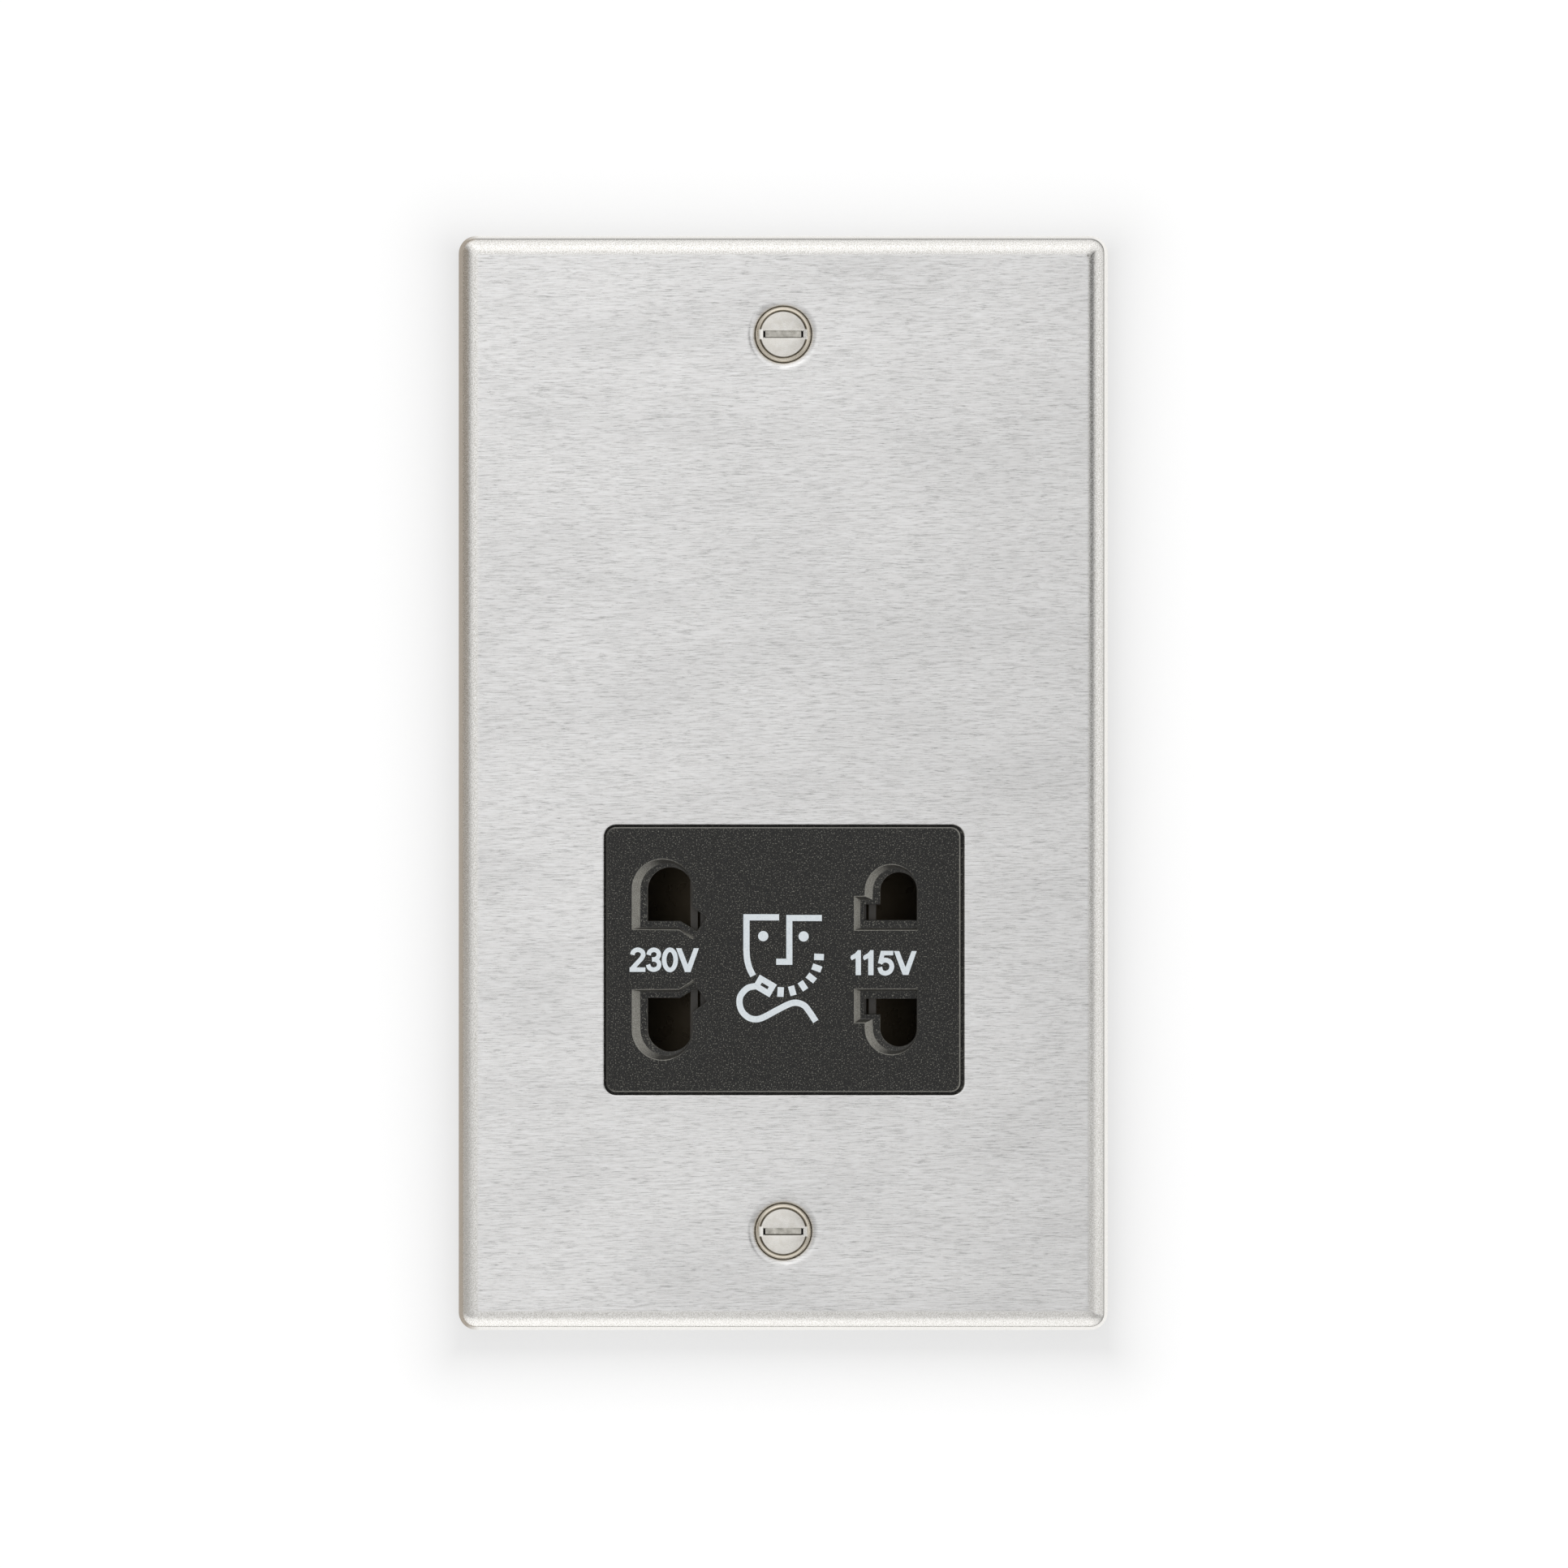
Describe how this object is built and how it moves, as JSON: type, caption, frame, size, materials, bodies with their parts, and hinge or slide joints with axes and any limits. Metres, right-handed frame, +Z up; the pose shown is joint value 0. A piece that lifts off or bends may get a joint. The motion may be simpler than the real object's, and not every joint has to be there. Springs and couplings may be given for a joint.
{
  "type": "shaver socket",
  "caption": "Shaver supply socket on a brushed steel wall plate, with keyed pin slots, a sliding interlock shutter and an enclosed isolating transformer behind.",
  "frame": {"origin": "on the wall plane at the back of the plate's rim, midway between the two fixing screws", "axes": "+X to the right seen from the front, +Y into the wall, +Z up"},
  "size_m": [0.0874, 0.0429, 0.1474],
  "materials": {
    "plate_steel": "horizontally brushed stainless sheet",
    "screw_nickel": "nickel-plated steel, raised slotted head",
    "face_moulding": "charcoal urea moulding with a fine grain",
    "shutter_moulding": "black glossy nylon",
    "carrier_moulding": "natural nylon moulding",
    "contact_bronze": "phosphor bronze strip",
    "spring_steel": "drawn spring wire",
    "core_iron": "varnished electrical steel sheets",
    "bobbin_nylon": "natural glass-filled nylon",
    "copper_wire": "enamelled copper wire",
    "winding_tape": "yellow polyester tape",
    "cutout_body": "black thermal cut-out case",
    "zinc_steel": "bright zinc-plated steel",
    "housing_moulding": "white flame-retardant moulding",
    "block_moulding": "white terminal moulding",
    "terminal_brass": "plain brass",
    "marking_ink": "white pad-printed ink of the plain markings"
  },
  "bodies": {
    "housing": {"front_plate": "plate_steel", "fixing_screw_upper": "screw_nickel", "fixing_screw_lower": "screw_nickel", "socket_face": "face_moulding", "centring_spring_left": "spring_steel", "centring_spring_right": "spring_steel", "contact_carrier": "carrier_moulding", "contact_230_upper": "contact_bronze", "contact_230_lower": "contact_bronze", "contact_115_upper": "contact_bronze", "contact_115_lower": "contact_bronze", "switch_rail": "contact_bronze", "switch_fork": "contact_bronze", "carrier_screws": "zinc_steel", "core_e_stack": "core_iron", "core_i_stack": "core_iron", "bobbin": "bobbin_nylon", "primary_winding": "copper_wire", "secondary_winding": "copper_wire", "winding_tape": "winding_tape", "thermal_cutout": "cutout_body", "core_screws": "zinc_steel", "rear_housing": "housing_moulding", "plate_studs": "zinc_steel", "stud_washers": "zinc_steel", "stud_nuts": "zinc_steel", "terminal_block": "block_moulding", "terminal_clamps": "terminal_brass", "terminal_screws": "zinc_steel", "block_screws": "zinc_steel", "earth_tab": "zinc_steel", "earth_screw": "terminal_brass"},
    "shutter": {"shutter_slide": "shutter_moulding", "switch_bridge": "contact_bronze"}
  },
  "joints": [
    {"name": "shutter_travel", "type": "slide", "parent": "housing", "child": "shutter", "axis": [1, 0, 0], "range_m": [-0.006, 0.006], "stiffness_N_per_m": 150, "deforming": ["centring_spring_left", "centring_spring_right"]}
  ]
}
